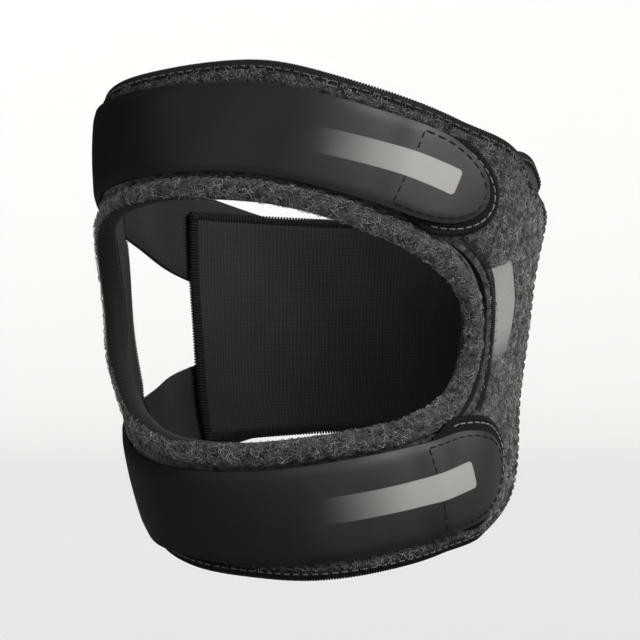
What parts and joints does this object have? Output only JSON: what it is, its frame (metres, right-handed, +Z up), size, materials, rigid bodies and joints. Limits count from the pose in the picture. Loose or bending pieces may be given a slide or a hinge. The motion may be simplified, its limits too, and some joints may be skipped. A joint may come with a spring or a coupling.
{
  "type": "knee support strap",
  "caption": "Wrap-around knee support with a padded open kneecap window, a band behind the knee and straps that close above and below the kneecap with hook tabs.",
  "frame": {"origin": "middle of the leg hollow, level with the middle of the kneecap", "axes": "+Z up the leg towards the thigh, -Y forward out of the kneecap window, +X towards the side where the straps close"},
  "size_m": [0.1318, 0.1265, 0.1517],
  "materials": {
    "loop_neoprene": "charcoal unbroken-loop pile laminated to neoprene foam",
    "jersey_neoprene": "black jersey knit laminated to neoprene foam",
    "coated_neoprene": "smooth satin black coating over neoprene",
    "hook_tape": "black hook tape with stitched edges"
  },
  "bodies": {
    "root": {"front_panel": "loop_neoprene", "patella_rim": "loop_neoprene", "back_band": "jersey_neoprene", "top_strap": "coated_neoprene", "bottom_strap": "coated_neoprene", "top_hook_tab": "hook_tape", "bottom_hook_tab": "hook_tape"}
  },
  "joints": []
}
